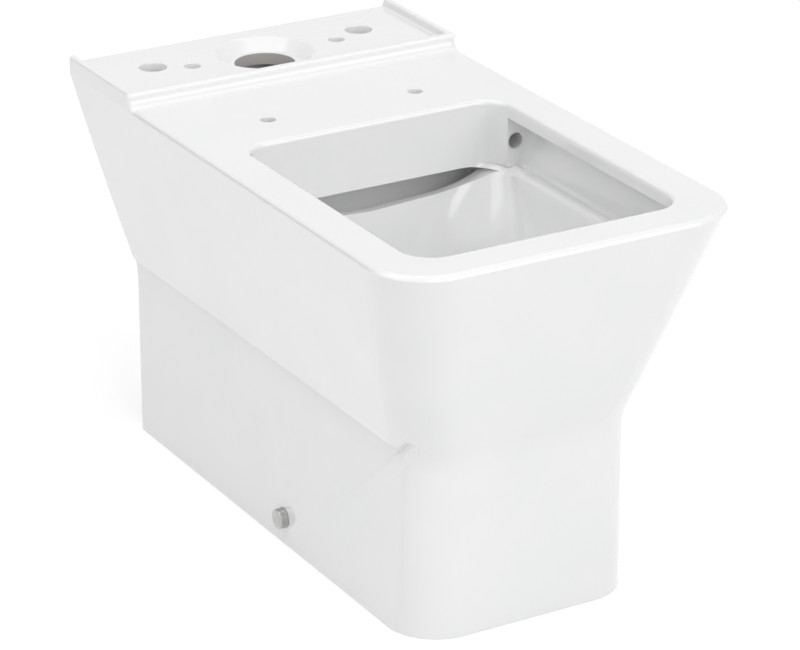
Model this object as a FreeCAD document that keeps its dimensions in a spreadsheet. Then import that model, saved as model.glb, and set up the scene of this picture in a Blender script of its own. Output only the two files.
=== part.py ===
"""Rimless toilet pan, back to the wall, for a cistern that stands on it.

Millimetres.  +Z is up, the front looks along -Y, and the origin is on the floor under the middle
of the whole pan.  One ceramic casting carries the open bowl, the flush channel under the rim, the
water chamber behind the bowl, the trap and the outlet.  Two sets of hidden floor fixings hold it.
"""
import FreeCAD, Part
import math
import os

import Sketcher

V = FreeCAD.Vector
UP = V(0, 0, 1)
ALONG_X = V(1, 0, 0)
ALONG_Y = V(0, 1, 0)

SIZES = {
    # whole casting
    "pan_width": 360.0,
    "pan_length": 642.0,
    "pan_height": 404.0,
    "deck_drop": 14.0,
    "ledge_drop": 7.0,
    "wall": 12.0,
    "deck_wall": 12.0,
    "ledge_wall": 16.0,
    "rear_wall": 20.0,
    "overrun": 20.0,
    # foot and flare
    "foot_side_in": 59.7,
    "foot_front_in": 74.7,
    "foot_back_in": 14.7,
    "foot_round": 50.7,
    "back_round": 6.0,
    "rim_round": 58.0,
    "knee_height": 172.5,
    "band_drop": 3.0,
    "blend_radius": 80.0,
    "side_crown": 1.2,
    # rear ledge
    "ledge_length": 133.0,
    "lip_width": 8.0,
    "step_round": 9.5,
    "deck_round": 7.0,
    "lip_round": 3.0,
    "ledge_round": 3.2,
    "tray_round": 3.5,
    "tray_corner": 5.0,
    "tray_edge": 2.6,
    # side recess under the crease
    "crease_height": 188.0,
    "recess_depth": 10.5,
    "recess_back_depth": 0.9,
    "recess_round": 8.0,
    "recess_start": 10.0,
    "recess_run": 200.0,
    "notch_in": 38.3,
    "notch_drop": 11.0,
    "notch_lean": 9.0,
    "facet_depth": 7.0,
    "facet_rise": 9.0,
    "facet_lean": 11.0,
    # opening and bowl
    "rim_side": 44.0,
    "rim_front": 43.8,
    "rim_depth": 13.5,
    "seat_deck_length": 278.0,
    "opening_round": 30.0,
    "opening_back_round": 24.0,
    "opening_edge": 5.0,
    "spill_drop": 63.0,
    "spill_flare": 8.0,
    "bowl_wall": 9.0,
    "sump_back_in": 9.0,
    "sump_top_level": 172.0,
    "sump_top_width": 112.0,
    "sump_top_length": 152.0,
    "sump_middle_level": 140.0,
    "sump_middle_width": 79.0,
    "sump_middle_length": 105.0,
    "sump_floor_level": 100.0,
    "sump_floor_width": 48.0,
    "sump_floor_length": 46.0,
    # flush channel under the rim
    "channel_wall": 9.0,
    "channel_end_in": 23.0,
    "channel_end_round": 9.0,
    "trough_drop": 67.0,
    "trough_round": 6.0,
    "spill_edge": 11.0,
    "spill_edge_front": 15.0,
    "spill_edge_corner": 12.0,
    "spill_edge_round": 2.0,
    # trap and outlet
    "trap_bore": 60.0,
    "trap_wall": 8.0,
    "trap_start_in": 53.0,
    "trap_start_height": 150.0,
    "dip_out": 3.0,
    "dip_height": 14.0,
    "weir_out": 95.0,
    "trap_bend": 46.0,
    "outlet_height": 180.0,
    "outlet_bore": 86.0,
    "outlet_width": 102.0,
    "outlet_length": 68.0,
    "outlet_setback": 36.0,
    "outlet_cone": 46.0,
    # water chamber, the gap in front of it, its nozzles, duct and inlet
    "band_wall": 8.0,
    "chamber_side": 5.0,
    "chamber_length": 24.0,
    "chamber_round": 22.0,
    "chamber_floor_drop": 110.0,
    "chamber_roof_drop": 18.0,
    "gap_top_drop": 65.0,
    "gap_drop": 89.5,
    "gap_bend_half": 97.0,
    "gap_bend_rise": 5.0,
    "gap_bend_round": 150.0,
    "gap_shoulder_half": 104.0,
    "gap_shoulder_round": 100.0,
    "gap_tip_in": 4.3,
    "gap_tip_drop": 68.8,
    "wing_side": 25.0,
    "wing_length": 13.0,
    "wing_rise": 13.0,
    "nozzle_bore": 15.0,
    "nozzle_edge": 1.5,
    "nozzle_side": 34.0,
    "nozzle_drop": 38.5,
    "duct_width": 84.0,
    "duct_floor_drop": 60.0,
    "duct_roof_drop": 16.0,
    "duct_clear": 4.0,
    "inlet_in": 69.0,
    "inlet_bore": 60.0,
    "inlet_seat_width": 98.0,
    "inlet_seat_floor": 72.0,
    "inlet_seat_depth": 11.0,
    "inlet_edge": 3.0,
    # fastening holes in the deck and the ledge
    "seat_hole": 14.0,
    "seat_spacing": 159.0,
    "seat_hole_in": 223.5,
    "seat_hole_edge": 1.6,
    "bolt_hole": 26.0,
    "bolt_spacing": 228.0,
    "bolt_hole_in": 53.0,
    "bolt_hole_edge": 2.6,
    "pin_hole": 15.0,
    "pin_spacing": 159.5,
    "pin_hole_in": 69.5,
    "pin_hole_edge": 1.8,
    # side fixing
    "fit_gap": 0.3,
    "fixing_in": 318.0,
    "fixing_height": 26.0,
    "fixing_hole": 16.0,
    "fixing_sink": 1.6,
    "bush_width": 15.6,
    "bush_bore": 8.4,
    "bush_length": 9.5,
    "bush_flange": 17.6,
    "bush_flange_depth": 1.5,
    "washer_width": 15.0,
    "washer_depth": 1.2,
    "screw_width": 8.0,
    "screw_length": 42.0,
    "screw_head": 11.0,
    "screw_head_depth": 3.4,
    "screw_point": 1.5,
    "cap_width": 20.0,
    "cap_depth": 8.0,
    "cap_wall": 0.9,
    "cap_edge": 1.2,
    "bracket_length": 64.0,
    "bracket_reach": 52.0,
    "bracket_rise": 46.0,
    "bracket_base": 6.0,
    "bracket_upright": 10.0,
    "bracket_rib": 5.0,
    "bracket_hole": 9.0,
    "floor_hole": 7.0,
    "floor_spacing": 40.0,
    "floor_hole_reach": 34.0,
    "nut_width": 13.0,
    "nut_depth": 6.5,
    "nut_bore": 8.6,
    "nut_pocket": 5.0,
}

# How the bowl's wall curves: 1 would make it level with the sump's top edge.
BOWL_CURVE_SHARE = 0.93
# Corner radius of the bowl over half its smaller width, at the top and at the sump.
TOP_ROUND_SHARE = 0.176
LOW_ROUND_SHARE = 0.95
ROUND_POWER = 2.5
# Where a bevelled hole edge has its middle corner, as on a true rounding.
BEVEL_SHARE = 1 - math.cos(math.pi / 4)
BLEND_STEPS = 6
FLARE_STEPS = 4
BEND_STEPS = 6
ROUND_STEPS = 4
RECESS_STEPS = 4
SPILL_STEPS = 3
BOWL_STEPS = 13
BOWL_SKIN_STEPS = 6

doc = FreeCAD.newDocument("rimless_toilet")
sheet = doc.addObject("Spreadsheet::Sheet", "Sizes")
for row, (alias, value) in enumerate(SIZES.items(), start=1):
    sheet.set(f"A{row}", alias)
    sheet.set(f"B{row}", str(value))
    sheet.setAlias(f"B{row}", alias)
doc.recompute()


def size(alias):
    return float(sheet.get(alias))


def feature(name, shape):
    """A document object for a shape that this script works out itself."""
    obj = doc.addObject("Part::Feature", name)
    obj.Shape = shape
    return obj


def cut(name, base, tool):
    obj = doc.addObject("Part::Cut", name)
    obj.Base = base
    obj.Tool = tool
    return obj


def common(name, base, tool):
    obj = doc.addObject("Part::Common", name)
    obj.Base = base
    obj.Tool = tool
    return obj


def rounded(name, base, radii):
    """Base with each edge rounded for which radii(edge) gives its first and last radius."""
    doc.recompute()
    obj = doc.addObject("Part::Fillet", name)
    obj.Base = base
    chosen = []
    for number, edge in enumerate(base.Shape.Edges, start=1):
        pair = radii(edge)
        if pair:
            chosen.append((number, *pair))
    if not chosen:
        raise ValueError(f"{name}: no edge to round")
    obj.Edges = chosen
    return obj


def outline(level, half, front, back, front_round, back_round):
    """Closed plan outline at a height: straight sides, front at -front, rounded corners."""
    corners = [(half, -front, front_round), (half, back, back_round),
               (-half, back, back_round), (-half, -front, front_round)]
    turns = [(1, -1), (1, 1), (-1, 1), (-1, -1)]
    edges = []
    ends = []
    for (x, y, r), (sx, sy) in zip(corners, turns):
        centre = V(x - sx * r, y - sy * r, level)
        diagonal = centre + V(sx, sy, 0).normalize() * r
        across = V(centre.x + sx * r, centre.y, level)
        along = V(centre.x, centre.y + sy * r, level)
        first, last = (along, across) if sx * sy < 0 else (across, along)
        ends.append((first, diagonal, last))
    for i, (first, middle, last) in enumerate(ends):
        edges.append(Part.Arc(first, middle, last).toShape())
        edges.append(Part.LineSegment(last, ends[(i + 1) % len(ends)][0]).toShape())
    return Part.Wire(edges)


def faceted(level, half, front, back, front_round, back_round, draw_in=0):
    """The same outline with a flat that touches each corner's arc, and a front drawn in."""
    front_cut, back_cut = ((2 - math.sqrt(2)) * r for r in (front_round, back_round))
    front_half = half - draw_in
    right = [V(front_half - front_cut, -front, level), V(front_half, front_cut - front, level),
             V(half, back - back_cut, level), V(half - back_cut, back, level)]
    left = [V(-p.x, p.y, level) for p in reversed(right)]
    return Part.makePolygon(right + left + right[:1])


def ruled_solid(wires):
    return Part.makeLoft(wires, True, True)


def steps(low, high, count):
    return [low + (high - low) * i / count for i in range(count + 1)]


def prism(low, high, *plan):
    """Upright solid between two heights over one outline."""
    return Part.Face(outline(low, *plan)).extrude(V(0, 0, high - low))


def face_over(points):
    """Face over a closed run of points and arcs; an arc is given by its middle and end."""
    edges = []
    here = points[0]
    for step in points[1:] + [points[0]]:
        if isinstance(step, tuple):
            middle, end = step
            edges.append(Part.Arc(here, middle, end).toShape())
            here = end
        elif (step - here).Length > 0:
            edges.append(Part.LineSegment(here, step).toShape())
            here = step
    return Part.Face(Part.Wire(edges))


def extruded(points, start, direction):
    face = face_over(points)
    face.translate(start)
    return face.extrude(direction)


def cove(corner, first, last, radius):
    """Start and (middle, end) of the arc that rounds a corner between two unit directions."""
    half_angle = first.getAngle(last) / 2
    reach = radius / math.tan(half_angle)
    inwards = (first + last).normalize()
    middle = corner + inwards * (radius / math.sin(half_angle) - radius)
    return corner + first * reach, (middle, corner + last * reach)


def block(half, front, back, low, high):
    """Upright box, symmetric about X = 0."""
    return Part.makeBox(2 * half, back - front, high - low, V(-half, front, low))


def both_sides(shape):
    return [shape, shape.mirror(V(), ALONG_X)]


def pipe(points, radius, bend):
    """Round pipe along a run of points in the plane X = 0, each bend in short lengths."""
    rings = []

    def add_ring(place, along):
        ring = Part.Wire(Part.makeCircle(radius, V(), ALONG_Y))
        ring.Placement = FreeCAD.Placement(place, FreeCAD.Rotation(ALONG_Y, along))
        rings.append(ring)

    add_ring(points[0], points[1] - points[0])
    for before, corner, after in zip(points, points[1:], points[2:]):
        first = (before - corner).normalize()
        last = (after - corner).normalize()
        begin, (middle, end) = cove(corner, first, last, bend)
        centre = middle + (first + last).normalize() * bend
        reach = begin - centre
        axis = reach.cross(end - centre)
        for angle in steps(0, 180 - math.degrees(first.getAngle(last)), BEND_STEPS):
            turn = FreeCAD.Rotation(axis, angle)
            add_ring(centre + turn.multVec(reach), turn.multVec(-first))
    add_ring(points[-1], points[-1] - points[-2])
    return ruled_solid(rings)


def bevelled_hole(x, y, top, bottom, radius, edge):
    """Cutter for a hole along Z whose top edge is bevelled twice."""
    share = BEVEL_SHARE
    profile = [V(0, 0, bottom), V(radius, 0, bottom), V(radius, 0, top - edge),
               V(radius + share * edge, 0, top - share * edge), V(radius + edge, 0, top),
               V(radius + edge, 0, top + overrun), V(0, 0, top + overrun)]
    cutter = face_over(profile).revolve(V(), UP, 360)
    cutter.translate(V(x, y, 0))
    return cutter


overrun = size("overrun")
tiny = size("fit_gap")
half_width = size("pan_width") / 2
pan_end = size("pan_length") / 2
pan_top = size("pan_height")
deck = pan_top - size("deck_drop")
ledge = pan_top - size("ledge_drop")
knee = size("knee_height")
band = deck - size("band_drop")
foot_half = half_width - size("foot_side_in")
foot_front = pan_end - size("foot_front_in")
foot_back = pan_end - size("foot_back_in")


def flare(level, reach, crown):
    """How far a wall that leans out by reach at the band stands out from the foot."""
    slope = reach / (band - knee)
    angle = math.atan(slope)
    blend = size("blend_radius")
    low = knee - blend * math.tan(angle / 2)
    high = low + blend * math.sin(angle)
    if level <= low:
        return 0.0
    if level <= high:
        return blend - math.sqrt(blend ** 2 - (level - low) ** 2)
    share = (level - high) / (band - high)
    return (level - knee) * slope + crown * 4 * share * (1 - share)


def body_plan(level, inset):
    """Outline values of the outer wall at a height, drawn in by inset."""
    level = min(level, band)
    side = foot_half + flare(level, half_width - foot_half, size("side_crown"))
    front = foot_front + flare(level, pan_end - foot_front, 0)
    back = foot_back + flare(level, pan_end - foot_back, 0)
    share = max(0.0, (level - blend_low) / (band - blend_low))
    corner = size("foot_round") + (size("rim_round") - size("foot_round")) * share
    return side - inset, front - inset, back, corner - inset


front_angle = math.atan((pan_end - foot_front) / (band - knee))
blend_low = knee - size("blend_radius") * math.tan(front_angle / 2)
blend_high = blend_low + size("blend_radius") * math.sin(front_angle)


def body_outlines(low, high, count):
    return [outline(z, *body_plan(z, 0), size("back_round")) for z in steps(low, high, count)]


# Outer body: foot, blend, flare and band up to the top of the side lips.
foot = prism(0, blend_low, *body_plan(0, 0), size("back_round"))
blend = Part.makeLoft(body_outlines(blend_low, blend_high, BLEND_STEPS), True, False)
lean = ruled_solid(body_outlines(blend_high, band, FLARE_STEPS))
rim_band = prism(band, pan_top, *body_plan(band, 0), size("back_round"))
outside = feature("PanOutside", foot.fuse([blend, lean, rim_band]))

ledge_front = pan_end - size("ledge_length")
far_front = pan_end + overrun
step_start, step_arc = cove(V(0, ledge_front, deck), -ALONG_Y, UP, size("step_round"))
deck_space = extruded([V(0, -far_front, deck), step_start, step_arc,
                       V(0, ledge_front, pan_top + overrun), V(0, -far_front, pan_top + overrun)],
                      V(-half_width - overrun, 0, 0), V(2 * (half_width + overrun), 0, 0))
tray_half = half_width - size("lip_width")
tray_front = ledge_front + size("lip_width")
tray = Part.makeBox(2 * tray_half, pan_end - tray_front + overrun, pan_top - ledge + overrun,
                    V(-tray_half, tray_front, ledge))
tray_corners = [e for e in tray.Edges if e.BoundBox.ZLength > tiny and e.BoundBox.YMax < pan_end]
tray = tray.makeFillet(size("tray_corner"), tray_corners)
tray_foot = [e for e in tray.Edges if e.BoundBox.ZMax < ledge + tiny and e.BoundBox.YMin < pan_end]
tray = tray.makeFillet(size("tray_round"), tray_foot)
top_space = feature("TopSpace", deck_space.fuse(tray))

# The top is rounded on an upright block of the rim's outline, which then trims the outer body.
top_block = feature("TopBlock", prism(-overrun, pan_top, *body_plan(band, 0), size("back_round")))
top_cut = cut("TopCut", top_block, top_space)


def is_flat(edge, level):
    return abs(edge.BoundBox.ZMin - level) < tiny and abs(edge.BoundBox.ZMax - level) < tiny


def is_side(edge):
    b = edge.BoundBox
    return b.XMin > half_width - tiny or b.XMax < -half_width + tiny


def ledge_nose(edge):
    """The front top edge of the ledge's border."""
    b = edge.BoundBox
    if is_flat(edge, pan_top) and abs(b.YMin - ledge_front) < tiny and b.YLength < tiny:
        return size("ledge_round"), size("ledge_round")


def top_rim(edge):
    """Large rounding round the deck, which narrows up the step to the side lips."""
    b = edge.BoundBox
    wide, narrow = size("deck_round"), size("lip_round")
    if is_flat(edge, deck) and (is_side(edge) or b.YMax < -pan_end + size("rim_round") + tiny):
        return wide, wide
    if not is_side(edge) or b.ZMin < deck - tiny or b.YMin > pan_end - size("back_round") - tiny:
        return None
    if b.ZMin > deck + tiny:
        return narrow, narrow
    first = edge.valueAt(edge.FirstParameter).z
    last = edge.valueAt(edge.LastParameter).z
    return (wide, narrow) if first < last else (narrow, wide)


def tray_rim(edge):
    """The inner top edges of the lips and of the ledge's border."""
    b = edge.BoundBox
    inside = b.XMax < tray_half + tiny and b.XMin > -tray_half - tiny and b.YMin > tray_front - tiny
    if is_flat(edge, pan_top) and inside and b.YMin < pan_end - tiny:
        return size("tray_edge"), size("tray_edge")


top_nose = rounded("TopNose", top_cut, ledge_nose)
top_round = rounded("TopRound", top_nose, top_rim)
top_done = rounded("TopDone", top_round, tray_rim)
shaped = common("PanShaped", outside, top_done)

# Recess in each side of the foot: its top edge is the crease, its depth grows to the front.
crease = size("crease_height")
notch_y = size("notch_in") - foot_front
notch_z = crease - size("notch_drop")
foot_y = notch_y + size("recess_run")


def recess_face(y, depth):
    """Cross-section of the space outside the recessed wall, on the +X side, at y."""
    r = size("recess_round")
    out = foot_half + overrun
    low = -size("recess_start")
    inner = foot_half - depth
    slope = depth / (crease - low)
    lower = V(foot_half - slope * (crease - r - low), y, crease - r)
    centre = V(inner + r, y, crease - r)
    top = [centre + r * V(-math.cos(angle), 0, math.sin(angle))
           for angle in steps(0, math.pi / 2, ROUND_STEPS)[1:]]
    points = [V(foot_half, y, low), lower, *top, V(out, y, crease), V(out, y, low)]
    return Part.makePolygon(points + points[:1])


def side_zone(points):
    """Solid that spans the +X side over a run of (y, z) points."""
    return extruded([V(0, y, z) for y, z in points], V(0, 0, 0), V(half_width, 0, 0))


recess_back = foot_back + overrun
recess_front = notch_y - overrun
recess_grow = (size("recess_depth") - size("recess_back_depth")) / (foot_back - notch_y)
recess = ruled_solid([recess_face(y, size("recess_depth") - recess_grow * (y - notch_y))
                      for y in steps(recess_front, recess_back, RECESS_STEPS)])
top_y = notch_y - size("notch_lean")
low_z = -size("recess_start")
run = (notch_y - foot_y) / notch_z
low_y = foot_y + run * low_z
recess_zone = side_zone([(low_y, low_z), (notch_y, notch_z), (top_y, crease + tiny),
                         (recess_back, crease + tiny), (recess_back, low_z)])
facet_face = [V(foot_half, 0, low_z), V(foot_half + overrun, 0, low_z),
              V(foot_half + overrun, 0, crease + size("facet_rise")),
              V(foot_half - size("facet_depth"), 0, crease + size("facet_rise"))]
facet = extruded(facet_face, V(0, -pan_end, 0), V(0, pan_end, 0))
facet_zone = side_zone([(low_y, low_z), (notch_y, notch_z), (top_y, crease),
                        (top_y - size("facet_lean"), crease + size("facet_rise")),
                        (-pan_end, crease + size("facet_rise")), (-pan_end, low_z)])
right_recess = recess.common(recess_zone).fuse(facet.common(facet_zone))
left_recess = right_recess.mirror(V(), ALONG_X)
recesses = feature("SideRecesses", Part.Compound(right_recess.Solids + left_recess.Solids))
recessed = cut("PanRecessed", shaped, recesses)

# Opening in the deck, with its rounded edge.
opening_half = half_width - size("rim_side")
opening_front = pan_end - size("rim_front")
opening_back = pan_end - size("seat_deck_length")
spill = deck - size("spill_drop")
mouth = feature("Mouth", prism(spill, deck + overrun, opening_half, opening_front, opening_back,
                               size("opening_round"), size("opening_back_round")))
opened = cut("PanOpened", recessed, mouth)


def mouth_rim(edge):
    b = edge.BoundBox
    inside = b.XMax < opening_half + tiny and b.XMin > -opening_half - tiny
    if is_flat(edge, deck) and inside and b.YMax < opening_back + tiny:
        return size("opening_edge"), size("opening_edge")


edged = rounded("PanEdged", opened, mouth_rim)

# Bowl: its wall starts plumb under the rim, curves in to the sump, and flares to a round spill edge.
sump_back = opening_back - size("sump_back_in")
sump_top = size("sump_top_level")


def sump_plan(place):
    half, length = size(f"{place}_width") / 2, size(f"{place}_length")
    corner = LOW_ROUND_SHARE * min(half, length / 2)
    return half, length - sump_back, sump_back, corner, corner


def bowl_plan(level):
    """Outline values of the bowl at a height between the sump and the spill edge."""
    fall = (spill - level) / (spill - sump_top)
    last = math.sqrt(1 - BOWL_CURVE_SHARE ** 2)
    share = (math.sqrt(1 - (BOWL_CURVE_SHARE * fall) ** 2) - last) / (1 - last)
    top = opening_half, opening_front, opening_back
    half, front, back = (low + (high - low) * share
                         for low, high in zip(sump_plan("sump_top"), top))
    round_share = LOW_ROUND_SHARE - (LOW_ROUND_SHARE - TOP_ROUND_SHARE) * (1 - fall) ** ROUND_POWER
    corner = round_share * min(half, (front + back) / 2)
    radius = size("spill_flare")
    rise = max(0.0, radius - (spill - level))
    out = radius - math.sqrt(radius ** 2 - rise ** 2)
    return half + out, front + out, back, corner + out, corner + out


def wall_levels(top, count):
    """Heights down the bowl's wall that divide its curve evenly."""
    height = (spill - sump_top) / BOWL_CURVE_SHARE
    angles = steps(math.asin((spill - top) / height), math.asin(BOWL_CURVE_SHARE), count)
    return [spill - height * math.sin(angle) for angle in angles]


spill_levels = [spill - size("spill_flare") * (1 - math.sin(angle))
                for angle in steps(math.pi / 2, 0, SPILL_STEPS)]
bowl_levels = spill_levels + wall_levels(spill - size("spill_flare"), BOWL_STEPS)[1:]
sump_wires = [outline(size(f"{place}_level"), *sump_plan(place))
              for place in ("sump_middle", "sump_floor")]
bowl = ruled_solid([outline(z, *bowl_plan(z)) for z in bowl_levels] + sump_wires)


def bowl_skin(grow):
    """The bowl's outer skin, with flats for its hidden corners."""
    levels = wall_levels(spill, BOWL_SKIN_STEPS)
    fall = grow / (spill - sump_top)
    rows = [(z - (spill - z) * fall, bowl_plan(z)) for z in levels]
    rows += [(size(f"{place}_level") - grow, sump_plan(place))
             for place in ("sump_middle", "sump_floor")]
    return ruled_solid([faceted(z, *(value + grow for value in plan)) for z, plan in rows])


# Flush channel under the rim, along both sides and round the front.  Its outer wall leans with
# the body, and a low trough behind the bowl's spill edge carries the water forward.
channel_back = opening_back - size("channel_end_in")
rim_under = deck - size("rim_depth")
trough = deck - size("trough_drop")


def channel_outline(level):
    side, front, _, corner = body_plan(level, size("channel_wall"))
    return outline(level, side, front, channel_back, corner, size("channel_end_round"))


channel = ruled_solid([channel_outline(trough), channel_outline(rim_under)])
channel = channel.makeFillet(size("trough_round"),
                             [e for e in channel.Edges if e.BoundBox.ZMax < trough + tiny])
spill_block = prism(trough - overrun, spill, opening_half + size("spill_edge"),
                    opening_front - size("spill_edge_front"), opening_back + overrun,
                    size("spill_edge_corner"), tiny)
spill_block = spill_block.makeFillet(size("spill_edge_round"),
                                     [e for e in spill_block.Edges if is_flat(e, spill)
                                      and e.BoundBox.YMin < opening_back])
channel = channel.cut(spill_block)

# Water chamber behind the bowl, and the gap through which it pours down the bowl's back wall.
chamber_half = opening_half + size("chamber_side")
chamber_front = opening_back + size("band_wall")
chamber_back = chamber_front + size("chamber_length")
chamber_floor = deck - size("chamber_floor_drop")
chamber = prism(chamber_floor, deck - size("chamber_roof_drop"), chamber_half, -chamber_front,
                chamber_back, tiny, size("chamber_round"))
gap_low = V(0, 0, deck - size("gap_drop"))
gap_top = V(0, 0, deck - size("gap_top_drop"))
gap_bend = gap_low + V(size("gap_bend_half"), 0, size("gap_bend_rise"))
gap_shoulder = gap_top + ALONG_X * size("gap_shoulder_half")
gap_tip = V(opening_half - size("gap_tip_in"), 0, deck - size("gap_tip_drop"))
lower_start, lower_arc = cove(gap_bend, (gap_low - gap_bend).normalize(),
                              (gap_tip - gap_bend).normalize(), size("gap_bend_round"))
upper_start, upper_arc = cove(gap_shoulder, (gap_tip - gap_shoulder).normalize(), -ALONG_X,
                              size("gap_shoulder_round"))
gap_start = V(0, opening_back - size("opening_back_round"), 0)
gap = extruded([gap_low, lower_start, lower_arc, gap_tip, upper_start, upper_arc, gap_top],
               gap_start, V(0, chamber_front + tiny - gap_start.y, 0))

# Nozzles at the back ends of the channel, each fed from a wing of the chamber.
nozzle_x = half_width - size("nozzle_side")
nozzle_z = deck - size("nozzle_drop")
nozzle_half = size("nozzle_bore") / 2
wing_half = half_width - size("wing_side")
wing_front = chamber_back - size("wing_length")
wing = block(wing_half, wing_front, chamber_back, nozzle_z - size("wing_rise"),
             nozzle_z + size("wing_rise"))
nozzle_at = V(nozzle_x, channel_back, nozzle_z)
nozzle = Part.makeCylinder(nozzle_half, wing_front - channel_back + tiny, nozzle_at, ALONG_Y)
nozzle_mouth = Part.makeCone(nozzle_half + size("nozzle_edge"), nozzle_half, size("nozzle_edge"),
                             nozzle_at, ALONG_Y)

# Duct from the inlet to the chamber, and the conical seat of the inlet.
inlet_y = pan_end - size("inlet_in")
inlet_half = size("inlet_bore") / 2
duct_half = size("duct_width") / 2
duct_floor = deck - size("duct_floor_drop")
duct_back = inlet_y + inlet_half + size("duct_clear")
duct = block(duct_half, chamber_front + tiny, duct_back, duct_floor, deck - size("duct_roof_drop"))
inlet_seat = ledge - size("inlet_seat_depth")
seat_edge = V(size("inlet_seat_width") / 2, 0, ledge)
seat_foot = V(size("inlet_seat_floor") / 2, 0, inlet_seat)
seat_start, seat_arc = cove(seat_edge, (seat_foot - seat_edge).normalize(), ALONG_X,
                            size("inlet_edge"))
inlet = face_over([V(0, 0, duct_floor + overrun), V(inlet_half, 0, duct_floor + overrun),
                   V(inlet_half, 0, inlet_seat), seat_foot, seat_start, seat_arc,
                   seat_arc[1] + UP * overrun, V(0, 0, ledge + overrun)]).revolve(V(), UP, 360)
inlet.translate(V(0, inlet_y, 0))

# Trap: down from the sump, up over the weir, and out through the spigot.
outlet_z = size("outlet_height")
outlet_end = pan_end - size("outlet_setback")
outlet_start = outlet_end - size("outlet_length")
cone_start = outlet_start - size("outlet_cone")
trap_path = [V(0, opening_back - size("trap_start_in"), size("trap_start_height")),
             V(0, opening_back + size("dip_out"), size("dip_height")),
             V(0, opening_back + size("weir_out"), outlet_z), V(0, cone_start + tiny, outlet_z)]
trap_half = size("trap_bore") / 2
outlet_half = size("outlet_bore") / 2
spigot_half = size("outlet_width") / 2


def drain(pipe_radius, spigot_radius, end):
    """The whole waterway from the sump to the end of the spigot."""
    run = pipe(trap_path, pipe_radius, size("trap_bend"))
    cone = Part.makeCone(pipe_radius, spigot_radius, size("outlet_cone"),
                         V(0, cone_start, outlet_z), ALONG_Y)
    spigot = Part.makeCylinder(spigot_radius, end - outlet_start, V(0, outlet_start, outlet_z),
                               ALONG_Y)
    return run.fuse([cone, spigot])


# The casting is hollow: it is open at the bottom and the back, and clay surrounds each passage.
skin = size("bowl_wall")
wall = size("wall")
hollow_top = deck - size("deck_wall")


def hollow_outline(level, outer_level, back_in=0, front_in=0):
    side, front, _, corner = body_plan(outer_level, wall)
    return faceted(level, side - back_in, front, pan_end + overrun, corner, tiny, front_in)


upright_top = size("bracket_rise") + wall
shelf = crease + size("facet_rise") + wall
recess_back_in = size("recess_back_depth")
hollow = ruled_solid([hollow_outline(-overrun, 0), hollow_outline(upright_top, 0),
                      hollow_outline(crease, 0, recess_back_in,
                                     size("recess_depth") - recess_back_in),
                      hollow_outline(shelf, shelf), hollow_outline(hollow_top, hollow_top)])
rear_space = block(half_width - size("rear_wall"), ledge_front + size("ledge_wall"),
                   pan_end + overrun, hollow_top - overrun, ledge - size("deck_wall"))
hollow = hollow.fuse(rear_space)
clay = [
    bowl_skin(skin),
    drain(trap_half + size("trap_wall"), spigot_half, outlet_end),
    block(half_width, -pan_end, opening_back + skin, trough - skin, deck),
    block(chamber_half + skin, opening_back, chamber_back + skin, chamber_floor - skin, deck),
    block(wing_half + skin, channel_back, chamber_back + skin,
          nozzle_z - size("wing_rise") - skin, deck),
    block(duct_half + skin, chamber_front, duct_back + skin, duct_floor - skin, ledge - tiny),
]
for piece in clay:
    hollow = hollow.cut(piece)
core = feature("CastingCore", hollow)
hollowed = cut("PanHollow", edged, core)

# Fastening holes.
holes = []
for spacing, inset, level, width, edge in (
        ("seat_spacing", "seat_hole_in", deck, "seat_hole", "seat_hole_edge"),
        ("bolt_spacing", "bolt_hole_in", ledge, "bolt_hole", "bolt_hole_edge"),
        ("pin_spacing", "pin_hole_in", ledge, "pin_hole", "pin_hole_edge")):
    holes += both_sides(bevelled_hole(size(spacing) / 2, pan_end - size(inset), level,
                                      hollow_top - overrun, size(width) / 2, size(edge)))
fixing_at = V(foot_half - size("fixing_sink"), pan_end - size("fixing_in"), size("fixing_height"))
spot = Part.makeCylinder(size("cap_width") / 2 + tiny, overrun, fixing_at, ALONG_X)
fixing_hole = Part.makeCylinder(size("fixing_hole") / 2, 2 * overrun,
                                fixing_at - ALONG_X * overrun, ALONG_X)
holes += both_sides(spot.fuse(fixing_hole))

water = [bowl, chamber, duct, inlet, drain(trap_half, outlet_half, outlet_end + overrun), wing]
water += both_sides(gap) + both_sides(nozzle.fuse(nozzle_mouth))
passages = feature("Waterway", channel.fuse(water))
drained = cut("PanDrained", hollowed, passages)
drilled = feature("FasteningHoles", Part.Compound(holes))
pan = cut("Pan", drained, drilled)
pan.Label = "pan"

# Side fixings, drawn about the screw's axis: x = 0 is the seat in the wall and +X looks outwards.
FOOT_HALF = "Sizes.pan_width / 2 - Sizes.foot_side_in"
FLANGE_IN = "Sizes.fit_gap"
FLANGE_OUT = f"{FLANGE_IN} + Sizes.bush_flange_depth"
WASHER_IN = f"{FLANGE_OUT} + Sizes.fit_gap"
WASHER_OUT = f"{WASHER_IN} + Sizes.washer_depth"
HEAD_IN = f"{WASHER_OUT} + Sizes.fit_gap"
SCREW_END = f"{HEAD_IN} - Sizes.screw_length"
CAP_OUT = "Sizes.fit_gap + Sizes.cap_depth"
CAP_INSIDE = "Sizes.cap_width / 2 - Sizes.cap_wall"
BRACKET_FACE = "Sizes.fixing_sink - Sizes.wall - Sizes.fit_gap"
BRACKET_BACK = f"{BRACKET_FACE} - Sizes.bracket_upright"
NUT_IN = f"{BRACKET_BACK} + Sizes.nut_pocket - Sizes.fit_gap"
FLOOR = "-Sizes.fixing_height"


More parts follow.
